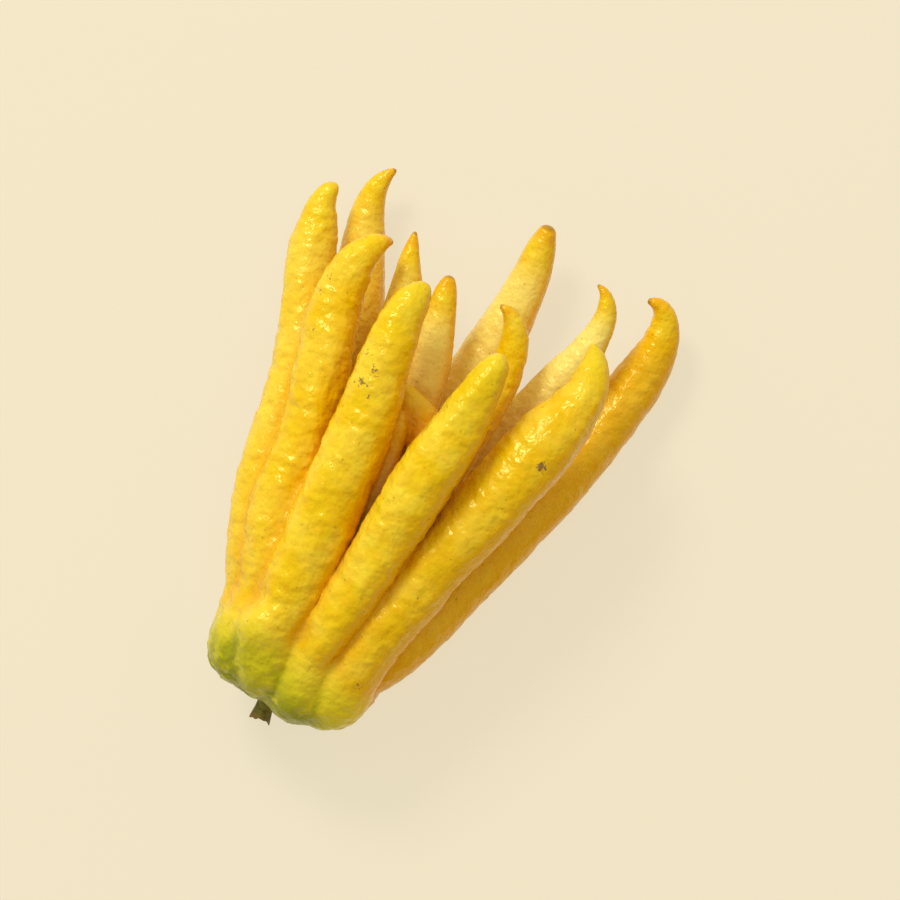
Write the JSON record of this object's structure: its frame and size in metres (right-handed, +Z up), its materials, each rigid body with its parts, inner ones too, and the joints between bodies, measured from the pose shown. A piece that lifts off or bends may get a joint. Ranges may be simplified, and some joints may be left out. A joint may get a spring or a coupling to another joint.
{
  "type": "buddhas hand citron",
  "caption": "Fingered citron as picked, lying on its side: one fruit of tapering curved fingers, with its calyx and the stub of its stalk.",
  "frame": {"origin": "on the surface that the fruit lies on, under the middle of the whole object", "axes": "+Y from the stalk to the fingertips, +Z up from the surface, +X to the right seen from above with the fingertips away"},
  "size_m": [0.1421, 0.2017, 0.0756],
  "materials": {
    "rind": "waxy semi-gloss citrus rind, finely pitted with oil glands, green near the stalk",
    "calyx": "dry, matt, olive green with brown edges",
    "stem": "dull green bark with a torn, browned end"
  },
  "bodies": {
    "root": {"fruit": "rind", "calyx": "calyx", "stem_stub": "stem"}
  },
  "joints": []
}
